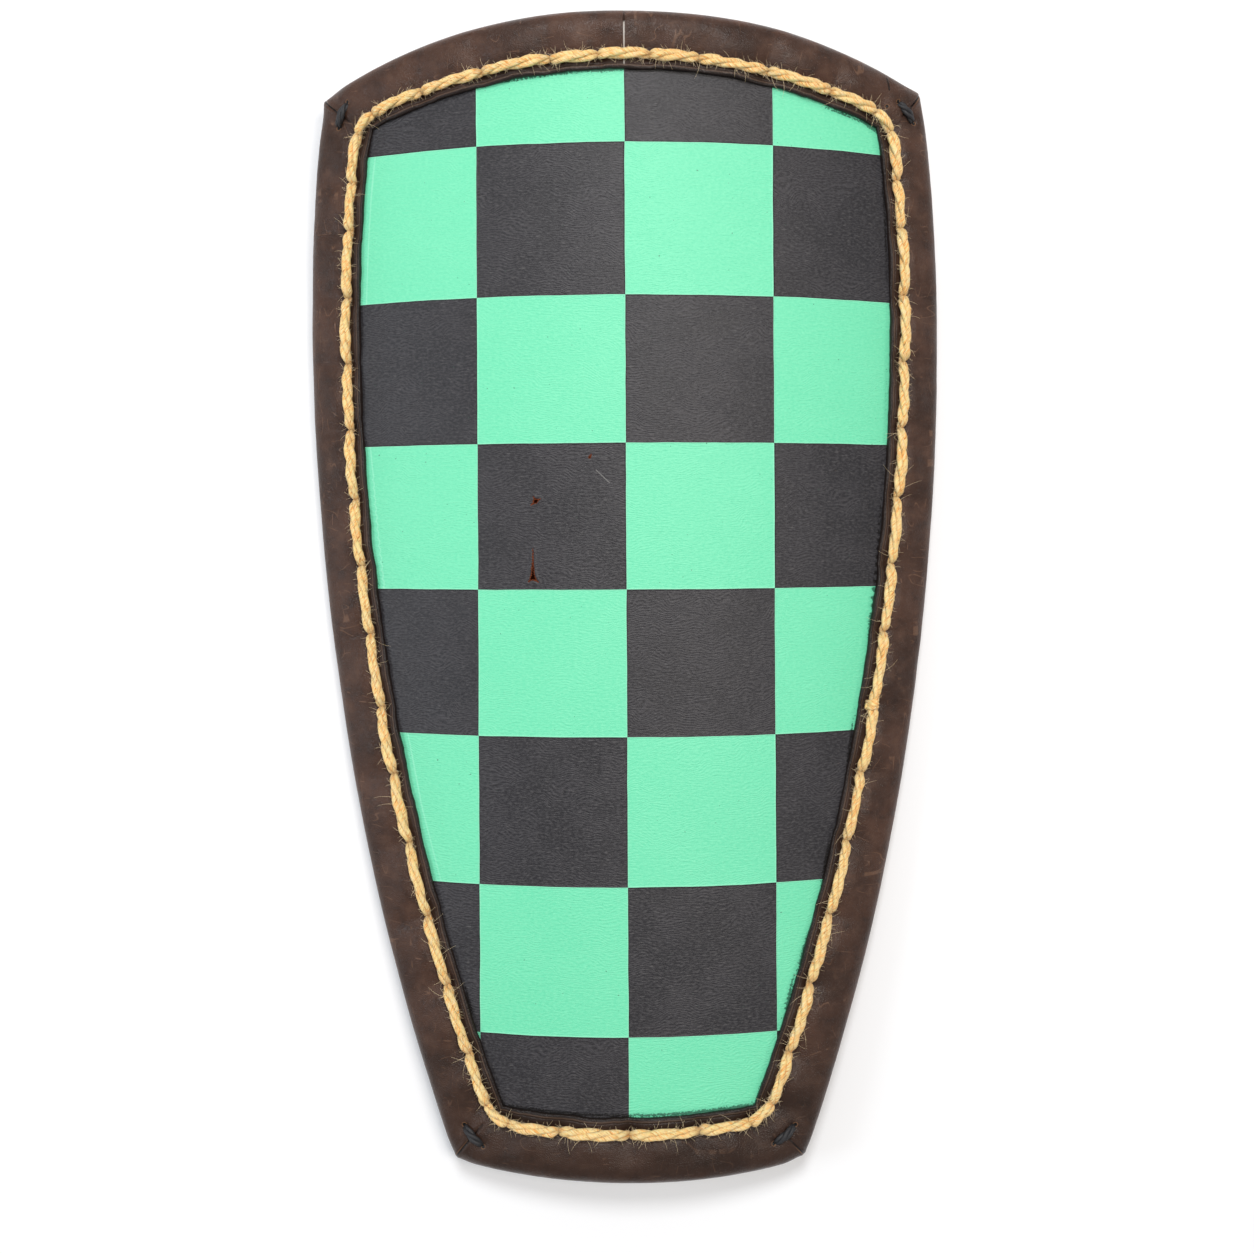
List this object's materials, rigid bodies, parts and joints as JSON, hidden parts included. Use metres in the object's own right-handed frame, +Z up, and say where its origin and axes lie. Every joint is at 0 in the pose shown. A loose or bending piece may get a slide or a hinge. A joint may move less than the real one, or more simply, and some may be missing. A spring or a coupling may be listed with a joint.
{
  "type": "punch shield",
  "caption": "Small curved fighting shield held by a grip across its back: checked canvas face, padded leather rim sewn on with thick cord.",
  "frame": {"origin": "on the surface that the shield lies on, under the middle of the whole shield", "axes": "+Y along the shield towards its wide top end, +Z up out of its face as it lies, +X to the right as the face is seen"},
  "size_m": [0.3978, 0.7026, 0.0898],
  "materials": {
    "plywood": "bare birch plywood, lightly sanded",
    "painted_canvas": "satin paint on fine canvas, mint green and black checks",
    "leather": "waxed dark brown leather, worn and scratched",
    "jute": "rough twisted jute",
    "black_thread": "waxed black thread",
    "ash": "oiled ash",
    "screw_steel": "plain steel"
  },
  "bodies": {
    "root": {"board": "plywood", "front_canvas": "painted_canvas", "leather_rim": "leather", "jute_cord": "jute", "corner_stitch_top_left": "black_thread", "corner_stitch_top_right": "black_thread", "corner_stitch_bottom_right": "black_thread", "corner_stitch_bottom_left": "black_thread", "grip": "ash", "grip_screw_1": "screw_steel", "grip_screw_2": "screw_steel", "grip_screw_3": "screw_steel", "grip_screw_4": "screw_steel"}
  },
  "joints": []
}
